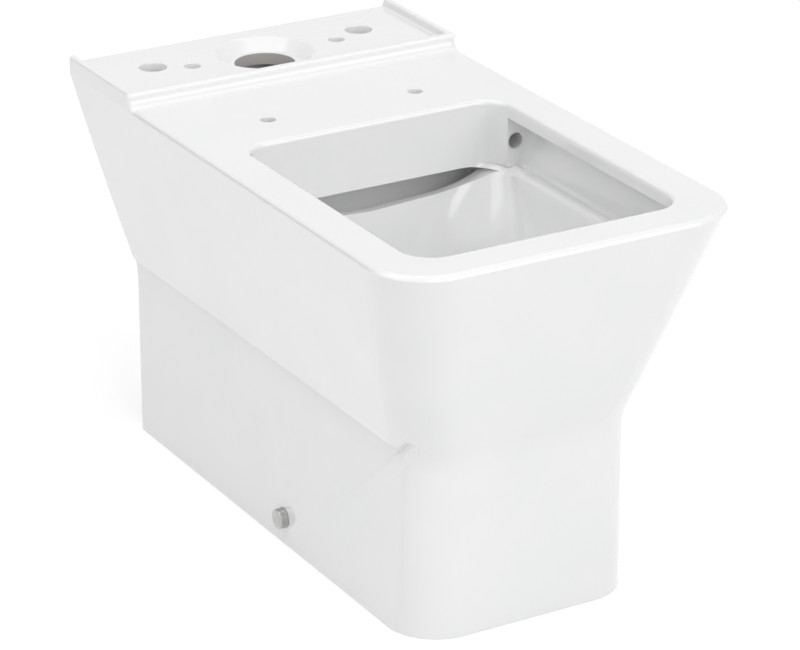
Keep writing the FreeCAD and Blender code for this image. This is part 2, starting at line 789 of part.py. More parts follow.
def sketch_on(body, plane, name, lift):
    """Sketch on one of the body's own origin planes, lifted off it by an expression."""
    sketch = body.newObject("Sketcher::SketchObject", name)
    support = next(o for o in body.Origin.OriginFeatures if o.Role == plane)
    sketch.AttachmentSupport = [(support, "")]
    sketch.MapMode = "FlatFace"
    if lift:
        sketch.setExpression("AttachmentOffset.Base.z", lift)
    return sketch


def hold(sketch, kind, places, expression):
    """A constraint whose value is an expression on the sheet."""
    value = float(sheet.evalExpression(expression))
    number = sketch.addConstraint(Sketcher.Constraint(kind, *places, value))
    sketch.setExpression(f"Constraints[{number}]", expression)


def hold_point(sketch, place, at):
    """A point of a sketch whose distances from the origin are expressions or zero."""
    for kind, axis, expression in (("DistanceX", -2, at[0]), ("DistanceY", -1, at[1])):
        if expression == "0":
            sketch.addConstraint(Sketcher.Constraint("PointOnObject", *place, axis))
        else:
            hold(sketch, kind, (-1, 1, *place), expression)


def draw(sketch, points):
    """Closed run of lines whose corners are given by expressions."""
    corners = [V(*(float(sheet.evalExpression(e)) for e in pair), 0) for pair in points]
    count = len(points)
    for i in range(count):
        sketch.addGeometry(Part.LineSegment(corners[i], corners[(i + 1) % count]), False)
    for i in range(count):
        sketch.addConstraint(Sketcher.Constraint("Coincident", i, 2, (i + 1) % count, 1))
    for i, at in enumerate(points):
        hold_point(sketch, (i, 1), at)


def draw_rounds(sketch, centres, diameter):
    """Circles of one diameter about centres given by expressions."""
    for i, at in enumerate(centres):
        middle = V(*(float(sheet.evalExpression(e)) for e in at), 0)
        radius = float(sheet.evalExpression(diameter)) / 2
        sketch.addGeometry(Part.Circle(middle, UP, radius), False)
        hold_point(sketch, (i, 3), at)
        hold(sketch, "Diameter", (i,), diameter)


def hexagon(across):
    """Corners of a hexagon across two flats that lie along the sketch's first axis."""
    far, near, flat = f"{across} / sqrt(3)", f"{across} / sqrt(12)", f"{across} / 2"
    return [(far, "0"), (near, flat), (f"-{near}", flat), (f"-{far}", "0"),
            (f"-{near}", f"-{flat}"), (near, f"-{flat}")]


def body_for(side, kind):
    body = doc.addObject("PartDesign::Body", f"{side}_{kind}")
    body.Label = f"{side}_{kind}"
    toward = 1 if side == "right" else -1
    body.Placement = FreeCAD.Placement(V(), FreeCAD.Rotation(UP, 0 if side == "right" else 180))
    body.setExpression("Placement.Base.x", f"{toward} * ({FOOT_HALF} - Sizes.fixing_sink)")
    body.setExpression("Placement.Base.y", "Sizes.pan_length / 2 - Sizes.fixing_in")
    body.setExpression("Placement.Base.z", "Sizes.fixing_height")
    return body


def turned(body, points):
    """Revolve a profile of (x, radius) corners about the screw's axis."""
    sketch = sketch_on(body, "XZ_Plane", f"{body.Name}_profile", "")
    draw(sketch, points)
    turn = body.newObject("PartDesign::Revolution", f"{body.Name}_turn")
    turn.Profile = sketch
    turn.ReferenceAxis = (sketch, ["H_Axis"])


def padded(body, name, sketch, length, symmetric=False):
    pad = body.newObject("PartDesign::Pad", f"{body.Name}_{name}")
    pad.Profile = sketch
    pad.setExpression("Length", length)
    pad.SideType = "Symmetric" if symmetric else "One side"


def pocketed(body, name, sketch, length, reverse):
    pocket = body.newObject("PartDesign::Pocket", f"{body.Name}_{name}")
    pocket.Profile = sketch
    pocket.setExpression("Length", length)
    pocket.Reversed = reverse


def make_bush(side):
    body = body_for(side, "fixing_bush")
    bore, shank, flange = "Sizes.bush_bore / 2", "Sizes.bush_width / 2", "Sizes.bush_flange / 2"
    turned(body, [(FLANGE_OUT, bore), (FLANGE_OUT, flange), (FLANGE_IN, flange),
                  (FLANGE_IN, shank), ("-Sizes.bush_length", shank), ("-Sizes.bush_length", bore)])
    return body


def make_washer(side):
    body = body_for(side, "screw_washer")
    sketch = sketch_on(body, "YZ_Plane", f"{body.Name}_ring", WASHER_IN)
    draw_rounds(sketch, [("0", "0")], "Sizes.washer_width")
    padded(body, "plate", sketch, "Sizes.washer_depth")
    hole = sketch_on(body, "YZ_Plane", f"{body.Name}_eye", WASHER_IN)
    draw_rounds(hole, [("0", "0")], "Sizes.bush_bore")
    pocketed(body, "bore", hole, "Sizes.washer_depth", True)
    return body


def make_screw(side):
    body = body_for(side, "fixing_screw")
    radius, point = "Sizes.screw_width / 2", "Sizes.screw_point"
    turned(body, [(HEAD_IN, "0"), (HEAD_IN, radius), (f"{SCREW_END} + {point}", radius),
                  (SCREW_END, f"{radius} - {point}"), (SCREW_END, "0")])
    sketch = sketch_on(body, "YZ_Plane", f"{body.Name}_hexagon", HEAD_IN)
    draw(sketch, hexagon("Sizes.screw_head"))
    padded(body, "head", sketch, "Sizes.screw_head_depth")
    return body


def make_cap(side):
    body = body_for(side, "fixing_cap")
    edge = f"{CAP_OUT} - Sizes.cap_edge"
    turned(body, [(FLANGE_IN, CAP_INSIDE), (FLANGE_IN, "Sizes.cap_width / 2"),
                  (edge, "Sizes.cap_width / 2"),
                  (CAP_OUT, "Sizes.cap_width / 2 - Sizes.cap_edge"), (CAP_OUT, "0"),
                  (f"{CAP_OUT} - Sizes.cap_wall", "0"),
                  (f"{CAP_OUT} - Sizes.cap_wall", f"{CAP_INSIDE} - Sizes.cap_edge"),
                  (f"{edge} - Sizes.cap_wall / 2", CAP_INSIDE)])
    return body


def make_nut(side):
    body = body_for(side, "bracket_nut")
    sketch = sketch_on(body, "YZ_Plane", f"{body.Name}_hexagon", f"{NUT_IN} - Sizes.nut_depth")
    draw(sketch, hexagon("Sizes.nut_width"))
    padded(body, "block", sketch, "Sizes.nut_depth")
    hole = sketch_on(body, "YZ_Plane", f"{body.Name}_eye", f"{NUT_IN} - Sizes.nut_depth")
    draw_rounds(hole, [("0", "0")], "Sizes.nut_bore")
    pocketed(body, "bore", hole, "Sizes.nut_depth", True)
    return body


def make_bracket(side):
    """Angle bracket on the floor: it takes two floor screws and holds the nut of the side screw."""
    body = body_for(side, "floor_bracket")
    top, toe = f"{FLOOR} + Sizes.bracket_rise", f"{BRACKET_FACE} - Sizes.bracket_reach"
    base = f"{FLOOR} + Sizes.bracket_base"
    angle = sketch_on(body, "XZ_Plane", f"{body.Name}_angle", "")
    draw(angle, [(BRACKET_FACE, FLOOR), (BRACKET_FACE, top), (BRACKET_BACK, top),
                 (BRACKET_BACK, base), (toe, base), (toe, FLOOR)])
    padded(body, "plates", angle, "Sizes.bracket_length", symmetric=True)
    for name, sign in (("front", "-1"), ("back", "1")):
        lift = f"{sign} * (Sizes.bracket_length - Sizes.bracket_rib) / 2"
        rib = sketch_on(body, "XZ_Plane", f"{body.Name}_{name}_rib", lift)
        draw(rib, [(BRACKET_BACK, base), (BRACKET_BACK, f"{top} - Sizes.bracket_rib"),
                   (f"{toe} + Sizes.bracket_rib", base)])
        padded(body, f"{name}_gusset", rib, "Sizes.bracket_rib", symmetric=True)
    seat = sketch_on(body, "YZ_Plane", f"{body.Name}_hexagon", BRACKET_BACK)
    draw(seat, hexagon("(Sizes.nut_width + 2 * Sizes.fit_gap)"))
    pocketed(body, "nut_seat", seat, "Sizes.nut_pocket", True)
    hole = sketch_on(body, "YZ_Plane", f"{body.Name}_eye", BRACKET_BACK)
    draw_rounds(hole, [("0", "0")], "Sizes.bracket_hole")
    pocketed(body, "screw_hole", hole, "Sizes.bracket_upright", True)
    feet = sketch_on(body, "XY_Plane", f"{body.Name}_feet", FLOOR)
    reach = f"{BRACKET_FACE} - Sizes.floor_hole_reach"
    draw_rounds(feet, [(reach, "-Sizes.floor_spacing / 2"), (reach, "Sizes.floor_spacing / 2")],
                "Sizes.floor_hole")
    pocketed(body, "floor_holes", feet, "Sizes.bracket_base", True)
    return body


nodes = [pan]
for hand in ("left", "right"):
    for make in (make_cap, make_bush, make_washer, make_screw, make_bracket, make_nut):
        nodes.append(make(hand))
doc.recompute()

for obj in doc.Objects:
    if "Invalid" in obj.State or "Error" in obj.State:
        raise RuntimeError(f"{obj.Name} failed: {obj.State}")
for node in nodes:
    if node.Shape.isNull() or not node.Shape.isValid() or node.Shape.Volume <= 0:
        raise RuntimeError(f"{node.Label} has no sound shape")

os.makedirs("parts", exist_ok=True)
for node in nodes:
    node.Shape.exportStep(f"parts/{node.Label}.step")
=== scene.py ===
"""Looks for the rimless toilet pan: glaze, fixings, floor, light and camera."""

import math

import bpy
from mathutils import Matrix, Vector


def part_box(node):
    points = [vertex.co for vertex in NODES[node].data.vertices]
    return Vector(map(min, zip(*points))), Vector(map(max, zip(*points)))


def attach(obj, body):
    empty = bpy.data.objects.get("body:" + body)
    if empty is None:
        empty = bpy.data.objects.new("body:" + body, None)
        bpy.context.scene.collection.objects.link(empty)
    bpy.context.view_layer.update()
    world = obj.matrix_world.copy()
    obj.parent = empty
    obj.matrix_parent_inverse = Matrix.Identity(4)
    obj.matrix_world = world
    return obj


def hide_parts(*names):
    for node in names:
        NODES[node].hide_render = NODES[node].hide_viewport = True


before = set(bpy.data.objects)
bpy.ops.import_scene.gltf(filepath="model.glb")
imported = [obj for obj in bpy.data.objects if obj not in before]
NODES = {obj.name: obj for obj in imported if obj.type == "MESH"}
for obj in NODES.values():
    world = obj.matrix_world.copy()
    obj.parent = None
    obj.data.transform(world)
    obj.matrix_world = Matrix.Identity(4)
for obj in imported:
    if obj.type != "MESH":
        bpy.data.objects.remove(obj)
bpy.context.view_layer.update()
SIDES = ("left", "right")

bl_info = {
    "name": "Rimless toilet pan",
    "version": (1, 0, 0),
    "blender": (4, 5, 0),
    "location": "View3D > Sidebar > Toilet",
    "description": "Glazes the pan, finishes its side fixings and sets up the floor, light and camera",
    "category": "Add Mesh",
}

# Lengths are in metres. A pair of limits is a start and an end.

# The uneven surface: its inputs with their plain values, and the part of a noise's range
# over which colours and roughness change.
WAVE_INPUTS = {"Wave scale": 20.0, "Grain scale": 400.0, "Grain share": 0.2}
NOISE_MIDDLE = (0.35, 0.65)

# The glaze: wave scale, grain scale and grain share; then its gloss and that of bare clay.
GLAZE_WAVES = (14.0, 160.0, 0.06)
ROUGHNESS_SPREAD = 0.04
CLAY_ROUGHNESS = 0.75
GLAZE_IOR = 1.45
COAT_IOR = 1.5
COAT_ROUGHNESS = 0.03

# Where the clay stays bare, and the box inside the inlet where the clay colour is painted as shade. A
# fade is bare at its first value and glazed at its second.
FOOT_FADE = (0.0006, 0.0014)
DOWN_FACING_FADE = (-0.7, -0.5)
SKIRT_ROOF_FADE = (0.295, 0.3)
SKIRT_SIDE_FADE = (0.0965, 0.0975)
FLARE_START = 0.16
FLARE_SLOPE = 0.286
# Painted shade: inside this box the dark clay colour stands for the shade in the deep inlet.
SHADED_INLET_CHAMBER = {"X": (-0.0505, 0.0505), "Y": (0.0765, 0.2945), "Z": (0.3215, 0.3855)}

# The fixings' materials: the colour's setting, the tints that make its second tone, the
# waves as for the glaze, the roughness limits, the height of the grain, and the metal share.
FINISHES = {
    "Satin plating": {
        "setting": "metal", "tints": (0.86, 0.86, 0.86), "waves": (90.0, 2600.0, 0.5),
        "roughness": (0.24, 0.34), "grain_height": 0.00002, "metallic": 1.0},
    "Zinc-plated steel": {
        "setting": "steel", "tints": (0.93, 0.9, 0.82), "waves": (240.0, 1800.0, 0.35),
        "roughness": (0.28, 0.48), "grain_height": 0.00003, "metallic": 1.0},
    "Moulded nylon": {
        "setting": "nylon", "tints": (1.07, 1.07, 1.07), "waves": (45.0, 1500.0, 0.7),
        "roughness": (0.42, 0.58), "grain_height": 0.00006, "metallic": 0.0},
}
HIDDEN_FIXINGS = {
    "Zinc-plated steel": ("screw_washer", "fixing_screw", "bracket_nut"),
    "Moulded nylon": ("fixing_bush", "floor_bracket"),
}

# Points of the CAD mesh closer than this are joined.
WELD_GAP = 0.000002

# The cap: corners round it, steps in its rounded edge, the angle above which an edge stays
# crisp, the bead's height and chamfer as shares of the wall, the width and the rise of each
# ring of its domed face, and the width of the ring round its inner face.
CAP_CORNERS = 72
CAP_EDGE_STEPS = 6
CAP_CREASE = math.radians(40)
BEAD_HEIGHT = 0.25
BEAD_CHAMFER = 0.2
CAP_DOME = ((0.0013, 0.00021), (0.0016, 0.00017), (0.0018, 0.00011), (0.0018, 0.00005))
INNER_RING = 0.002

# The floor lies just under the foot, so that the two never flicker.
FLOOR_DROP = 0.0003
FLOOR_COLOR = (0.84, 0.84, 0.84, 1)
FLOOR_GLOW = 0.42
CARD_COLOR = (0.02, 0.02, 0.02, 1)
CARD_AIM = Vector((0, 0, 0.35))
MATT = 0.9

# Lamps: name, place, width and height, and the setting that holds the power.
LAMPS = (
    ("Key lamp", (0.6, -3.3, 2.3), (3.8, 2.8), "key_power"),
    ("Side lamp", (-2.4, 0.2, 3.2), (2.6, 2.6), "side_power"),
    ("Low lamp", (-3.4, -0.6, 0.9), (2.2, 1.8), "low_power"),
    ("Top lamp", (0.3, 0.4, 3.6), (3.0, 3.0), "top_power"),
)
LAMP_AIM = Vector((0, 0, 0.25))

# Width of the camera's sensor in millimetres, and how far it sees in metres.
SENSOR_WIDTH = 36.0
VIEW_DEPTH = 60


class GlazeSettings(bpy.types.PropertyGroup):
    """Colour and gloss of the glazed clay."""
    color: bpy.props.FloatVectorProperty(
        name="Glaze colour", description="Colour of the white glaze", subtype="COLOR",
        size=4, min=0, max=1, default=(0.94, 0.941, 0.939, 1))
    pooled: bpy.props.FloatVectorProperty(
        name="Pooled glaze", description="Colour where the glaze lies a little thicker",
        subtype="COLOR", size=4, min=0, max=1, default=(0.922, 0.926, 0.929, 1))
    # The bare-clay colour is real on the foot and inside the skirt, and painted shade inside the
    # inlet's chamber.
    clay: bpy.props.FloatVectorProperty(
        name="Bare clay", description="Colour of the unglazed foot and of the dry inside",
        subtype="COLOR", size=4, min=0, max=1, default=(0.56, 0.55, 0.53, 1))
    roughness: bpy.props.FloatProperty(
        name="Glaze roughness", description="Roughness of the fired surface", default=0.16,
        min=0, max=1, subtype="FACTOR")
    ripple: bpy.props.FloatProperty(
        name="Ripple", description="Height of the slow waves in the glaze", default=0.00009,
        min=0, max=0.002, unit="LENGTH", precision=6)
    crease_angle: bpy.props.FloatProperty(
        name="Crease angle", description="Edges sharper than this stay crisp", subtype="ANGLE",
        default=math.radians(31), min=0, max=math.pi)


class FixingSettings(bpy.types.PropertyGroup):
    """Sizes and colours of the side fixings."""
    cap_edge: bpy.props.FloatProperty(
        name="Cap edge", description="Radius of the cap's front edge", default=0.0013,
        min=0.0001, max=0.003, unit="LENGTH", precision=4)
    cap_wall: bpy.props.FloatProperty(
        name="Cap wall", description="Thickness of the cap's wall", default=0.0009,
        min=0.0003, max=0.003, unit="LENGTH", precision=4)
    bead: bpy.props.FloatProperty(
        name="Cap bead", description="Width of the bead at the cap's foot", default=0.0014,
        min=0.0005, max=0.003, unit="LENGTH", precision=4)
    metal: bpy.props.FloatVectorProperty(
        name="Cap colour", description="Colour of the satin plating on the caps",
        subtype="COLOR", size=4, min=0, max=1, default=(0.5, 0.5, 0.495, 1))
    steel: bpy.props.FloatVectorProperty(
        name="Steel colour", description="Colour of the zinc-plated steel", subtype="COLOR",
        size=4, min=0, max=1, default=(0.56, 0.57, 0.58, 1))
    nylon: bpy.props.FloatVectorProperty(
        name="Nylon colour", description="Colour of the moulded brackets and bushes",
        subtype="COLOR", size=4, min=0, max=1, default=(0.62, 0.62, 0.6, 1))


class StageSettings(bpy.types.PropertyGroup):
    """Floor, lamps and camera."""
    floor_size: bpy.props.FloatProperty(
        name="Floor size", description="Width of the floor", default=30.0, min=2, unit="LENGTH")
    key_power: bpy.props.FloatProperty(
        name="Key light", description="Power of the large lamp on the front's side", default=58.0,
        min=0, unit="POWER")
    side_power: bpy.props.FloatProperty(
        name="Side light", description="Power of the high lamp on the left", default=27.0,
        min=0, unit="POWER")
    low_power: bpy.props.FloatProperty(
        name="Low light", description="Power of the low lamp on the left", default=6.0,
        min=0, unit="POWER")
    top_power: bpy.props.FloatProperty(
        name="Top light", description="Power of the lamp overhead", default=18.5,
        min=0, unit="POWER")
    room_light: bpy.props.FloatProperty(
        name="Room light", description="Strength of the even light from all round", default=0.475,
        min=0)
    card_place: bpy.props.FloatVectorProperty(
        name="Dark card", description="Middle of the black card behind the left edge",
        subtype="XYZ", unit="LENGTH", size=3, default=(-1.75, 2.4, 1.41))
    card_size: bpy.props.FloatVectorProperty(
        name="Card size", description="Width and height of the black card", unit="LENGTH",
        size=2, default=(1.8, 1.0))
    lens: bpy.props.FloatProperty(
        name="Lens", description="Focal length of the camera", default=166.85, min=20,
        unit="CAMERA")
    camera_place: bpy.props.FloatVectorProperty(
        name="Camera", description="Where the camera stands", subtype="XYZ", unit="LENGTH",
        size=3, default=(-1.6098, -2.7879, 1.5694))
    camera_turn: bpy.props.FloatProperty(
        name="Turn", description="Heading of the camera from straight ahead to its right",
        subtype="ANGLE", default=math.radians(30.104))
    camera_tilt: bpy.props.FloatProperty(
        name="Tilt", description="How far the camera looks down", subtype="ANGLE",
        default=math.radians(23.046))


def add_node(tree, kind, place, **values):
    """A node at a place on the sheet, with its inputs or its own settings given by name."""
    node = tree.nodes.new(kind)
    node.location = place
    for name, value in values.items():
        if name in node.inputs:
            node.inputs[name].default_value = value
        else:
            setattr(node, name, value)
    return node


def set_inputs(tree, sockets, values):
    """Give input sockets their values in order; each value is a link or a plain value."""
    for socket, value in zip(sockets, values):
        if isinstance(value, bpy.types.NodeSocket):
            tree.links.new(value, socket)
        else:
            socket.default_value = value


def uneven_surface():
    """Node group: slow waves and fine grain over a surface, as a tone and a height."""
    group = bpy.data.node_groups.get("Uneven surface")
    if group:
        return group
    group = bpy.data.node_groups.new("Uneven surface", "ShaderNodeTree")
    for name, value in WAVE_INPUTS.items():
        socket = group.interface.new_socket(name, in_out="INPUT", socket_type="NodeSocketFloat")
        socket.default_value = value
    for name in ("Tone", "Height"):
        group.interface.new_socket(name, in_out="OUTPUT", socket_type="NodeSocketFloat")
    start = add_node(group, "NodeGroupInput", (-600, 0))
    end = add_node(group, "NodeGroupOutput", (400, 0))
    place = add_node(group, "ShaderNodeTexCoord", (-600, -250))
    waves = add_node(group, "ShaderNodeTexNoise", (-350, 120), Detail=1.5, Roughness=0.4)
    grain = add_node(group, "ShaderNodeTexNoise", (-350, -180), Detail=3.0, Roughness=0.6)
    height = add_node(group, "ShaderNodeMix", (0, -100))
    for noise, scale in ((waves, "Wave scale"), (grain, "Grain scale")):
        group.links.new(place.outputs["Object"], noise.inputs["Vector"])
        group.links.new(start.outputs[scale], noise.inputs["Scale"])
    group.links.new(start.outputs["Grain share"], height.inputs["Factor"])
    group.links.new(waves.outputs["Fac"], height.inputs["A"])
    group.links.new(grain.outputs["Fac"], height.inputs["B"])
    group.links.new(waves.outputs["Fac"], end.inputs["Tone"])
    group.links.new(height.outputs["Result"], end.inputs["Height"])
    return group


def new_material(name):
    """A new material with its node tree and its shader."""
    mat = bpy.data.materials.new(name)
    mat.use_nodes = True
    return mat, mat.node_tree, mat.node_tree.nodes["Principled BSDF"]


def uneven_material(name, waves):
    """A new material with its shader and the uneven surface beside it."""
    mat, tree, shader = new_material(name)
    uneven = add_node(tree, "ShaderNodeGroup", (-900, 0), node_tree=uneven_surface())
    set_inputs(tree, [uneven.inputs[socket] for socket in WAVE_INPUTS], waves)
    return mat, tree, shader, uneven


def tone_ramp(tree, factor, colors, place):
    """Two colours over the middle of a noise."""
    ramp = add_node(tree, "ShaderNodeValToRGB", place)
    for element, position, color in zip(ramp.color_ramp.elements, NOISE_MIDDLE, colors):
        element.position = position
        element.color = color
    tree.links.new(factor, ramp.inputs["Fac"])
    return ramp.outputs["Color"]


def value_range(tree, factor, results, place, limits=NOISE_MIDDLE):
    """A number that goes from one result to the other while a factor crosses its limits."""
    span = add_node(tree, "ShaderNodeMapRange", place)
    sockets = [span.inputs[name] for name in ("From Min", "From Max", "To Min", "To Max")]
    set_inputs(tree, sockets, (*limits, *results))
    tree.links.new(factor, span.inputs["Value"])
    return span.outputs["Result"]


def fade(tree, value, limits, place):
    """One up to the first limit and zero from the second."""
    return value_range(tree, value, (1.0, 0.0), place, limits)


def surface_bump(tree, height, distance):
    """Bump the shader's surface by a height."""
    bump = add_node(tree, "ShaderNodeBump", (-300, -450), Distance=distance)
    tree.links.new(height, bump.inputs["Height"])
    tree.links.new(bump.outputs["Normal"], tree.nodes["Principled BSDF"].inputs["Normal"])


def mix_values(tree, mask, first, second, place, kind="FLOAT"):
    """A mix of two colours or numbers; each is a link or a plain value."""
    mix = add_node(tree, "ShaderNodeMix", place, data_type=kind)
    set_inputs(tree, [s for s in mix.inputs if s.enabled], (mask, first, second))
    return next(s for s in mix.outputs if s.enabled)


def math_node(tree, operation, place, *values):
    """A sum, product or other step on links or plain numbers."""
    node = add_node(tree, "ShaderNodeMath", place, operation=operation)
    set_inputs(tree, node.inputs, values)
    return node.outputs[0]


def inside_span(tree, value, limits, place):
    """One where a value lies between two limits."""
    low, high = limits
    return math_node(tree, "COMPARE", place, value, (low + high) / 2, (high - low) / 2)


def directly_seen(tree, place):
    """One for what the camera sees, straight or through a mirror or glass."""
    path = add_node(tree, "ShaderNodeLightPath", place)
    seen = path.outputs["Is Camera Ray"]
    for i, ray in enumerate(("Is Glossy Ray", "Is Transmission Ray")):
        seen = math_node(tree, "MAXIMUM", (place[0] + 200, place[1] - 160 * i),
                         seen, path.outputs[ray])
    return seen


def bare_clay_and_shade_mask(tree):
    """One on the foot's underside and on the faces that look down inside the skirt, where the clay is
    bare, and inside the inlet's chamber, where the clay colour is painted shade."""
    place = add_node(tree, "ShaderNodeTexCoord", (-2100, -100))
    surface = add_node(tree, "ShaderNodeNewGeometry", (-2100, -500))
    point = add_node(tree, "ShaderNodeSeparateXYZ", (-1900, -100))
    facing = add_node(tree, "ShaderNodeSeparateXYZ", (-1900, -500))
    tree.links.new(place.outputs["Object"], point.inputs[0])
    tree.links.new(surface.outputs["True Normal"], facing.inputs[0])
    across, height = point.outputs["X"], point.outputs["Z"]
    lowest = fade(tree, height, FOOT_FADE, (-1300, -60))
    down = fade(tree, facing.outputs["Z"], DOWN_FACING_FADE, (-1700, -500))
    low = fade(tree, height, SKIRT_ROOF_FADE, (-1700, -780))
    above = math_node(tree, "SUBTRACT", (-1700, -240), height, FLARE_START)
    rise = math_node(tree, "MAXIMUM", (-1540, -240), above, 0.0)
    flare = math_node(tree, "MULTIPLY", (-1380, -240), rise, FLARE_SLOPE)
    aside = math_node(tree, "ABSOLUTE", (-1540, -80), across)
    out = math_node(tree, "SUBTRACT", (-1380, -80), aside, flare)
    within = fade(tree, out, SKIRT_SIDE_FADE, (-1400, -420))
    foot = math_node(tree, "MULTIPLY", (-1100, -100), down, lowest)
    under = math_node(tree, "MULTIPLY", (-1200, -600), down, low)
    inside = math_node(tree, "MULTIPLY", (-1050, -500), under, within)
    # Painted shade: inside the inlet's chamber the mask lays the dark clay colour where the deep hole
    # is in shade.
    spans = [inside_span(tree, point.outputs[axis], limits, (-1700, -1000 - 180 * i))
             for i, (axis, limits) in enumerate(SHADED_INLET_CHAMBER.items())]
    flat = math_node(tree, "MULTIPLY", (-1500, -1100), *spans[:2])
    chamber = math_node(tree, "MULTIPLY", (-1300, -1200), flat, spans[2])
    bare_and_shaded = math_node(tree, "MAXIMUM", (-1050, -700), inside, chamber)
    return math_node(tree, "MAXIMUM", (-850, -350), foot, bare_and_shaded)


def glaze_material(settings):
    """White glaze over clay, glossy and slightly wavy, bare where no glaze is laid, and with the clay
    colour painted as shade inside the inlet's chamber.
    """
    mat, tree, shader, uneven = uneven_material("White glaze", GLAZE_WAVES)
    # The mask is bare clay on the foot and in the skirt, and painted shade inside the inlet's chamber.
    bare = bare_clay_and_shade_mask(tree)
    tone = tone_ramp(tree, uneven.outputs["Tone"], (settings.color, settings.pooled), (-650, 200))
    color = mix_values(tree, bare, tone, settings.clay, (-350, 200), "RGBA")
    tree.links.new(color, shader.inputs["Base Color"])
    gloss = value_range(tree, uneven.outputs["Tone"],
                        (settings.roughness, settings.roughness + ROUGHNESS_SPREAD), (-650, -50))
    rough = mix_values(tree, bare, gloss, CLAY_ROUGHNESS, (-350, 0))
    tree.links.new(rough, shader.inputs["Roughness"])
    glass = mix_values(tree, bare, 1.0, 0.0, (-350, -150))
    tree.links.new(glass, shader.inputs["Coat Weight"])
    shader.inputs["Coat Roughness"].default_value = COAT_ROUGHNESS
    shader.inputs["Coat IOR"].default_value = COAT_IOR
    shader.inputs["IOR"].default_value = GLAZE_IOR
    surface_bump(tree, uneven.outputs["Height"], settings.ripple)
    return mat


def fixing_material(name, settings):
    """A metal or plastic of the fixings, whose tone and gloss drift over the surface."""
    finish = FINISHES[name]
    color = getattr(settings, finish["setting"])
    second = [min(1, tint * part) for tint, part in zip(finish["tints"], color)] + [1]
    mat, tree, shader, uneven = uneven_material(name, finish["waves"])
    tone = tone_ramp(tree, uneven.outputs["Tone"], (color, second), (-650, 200))
    tree.links.new(tone, shader.inputs["Base Color"])
    rough = value_range(tree, uneven.outputs["Height"], finish["roughness"], (-650, -50))
    tree.links.new(rough, shader.inputs["Roughness"])
    shader.inputs["Metallic"].default_value = finish["metallic"]
    surface_bump(tree, uneven.outputs["Height"], finish["grain_height"])
    return mat


def only(obj):
    """Select one object alone and make it the active one."""
    bpy.ops.object.select_all(action="DESELECT")
    obj.select_set(True)
    bpy.context.view_layer.objects.active = obj


def finish_piece(obj, mat, angle):
    """Put the piece's place into its mesh, give it its material and smooth its gentle edges."""
    only(obj)
    bpy.ops.object.transform_apply(location=True, rotation=True, scale=True)
    obj.data.materials.clear()
    obj.data.materials.append(mat)
    bpy.ops.mesh.customdata_custom_splitnormals_clear()
    bpy.ops.object.shade_smooth_by_angle(angle=angle, keep_sharp_edges=False)
    bpy.ops.object.modifier_add(type="WEIGHTED_NORMAL")
    obj.modifiers[-1].keep_sharp = True
    bpy.ops.object.modifier_apply(modifier=obj.modifiers[-1].name)


def smooth_copy(name, node, mat, angle):
    """A copy of a CAD node with its triangles joined, so that its curves shade smoothly."""
    copy = NODES[node].copy()
    copy.data = copy.data.copy()
    copy.name = name
    bpy.context.scene.collection.objects.link(copy)
    only(copy)
    bpy.ops.object.mode_set(mode="EDIT")
    bpy.ops.mesh.select_all(action="SELECT")
    bpy.ops.mesh.remove_doubles(threshold=WELD_GAP)
    bpy.ops.object.mode_set(mode="OBJECT")
    finish_piece(copy, mat, angle)
    return copy


class TOILET_OT_glaze(bpy.types.Operator):
    """Give the pan its white glaze"""
    bl_idname = "toilet.glaze"
    bl_label = "Glaze the pan"

    def execute(self, context):
        settings = context.scene.toilet_glaze
        casting = smooth_copy("glazed_pan", "pan", glaze_material(settings),
                              settings.crease_angle)
        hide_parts("pan")
        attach(casting, "toilet")
        return {"FINISHED"}


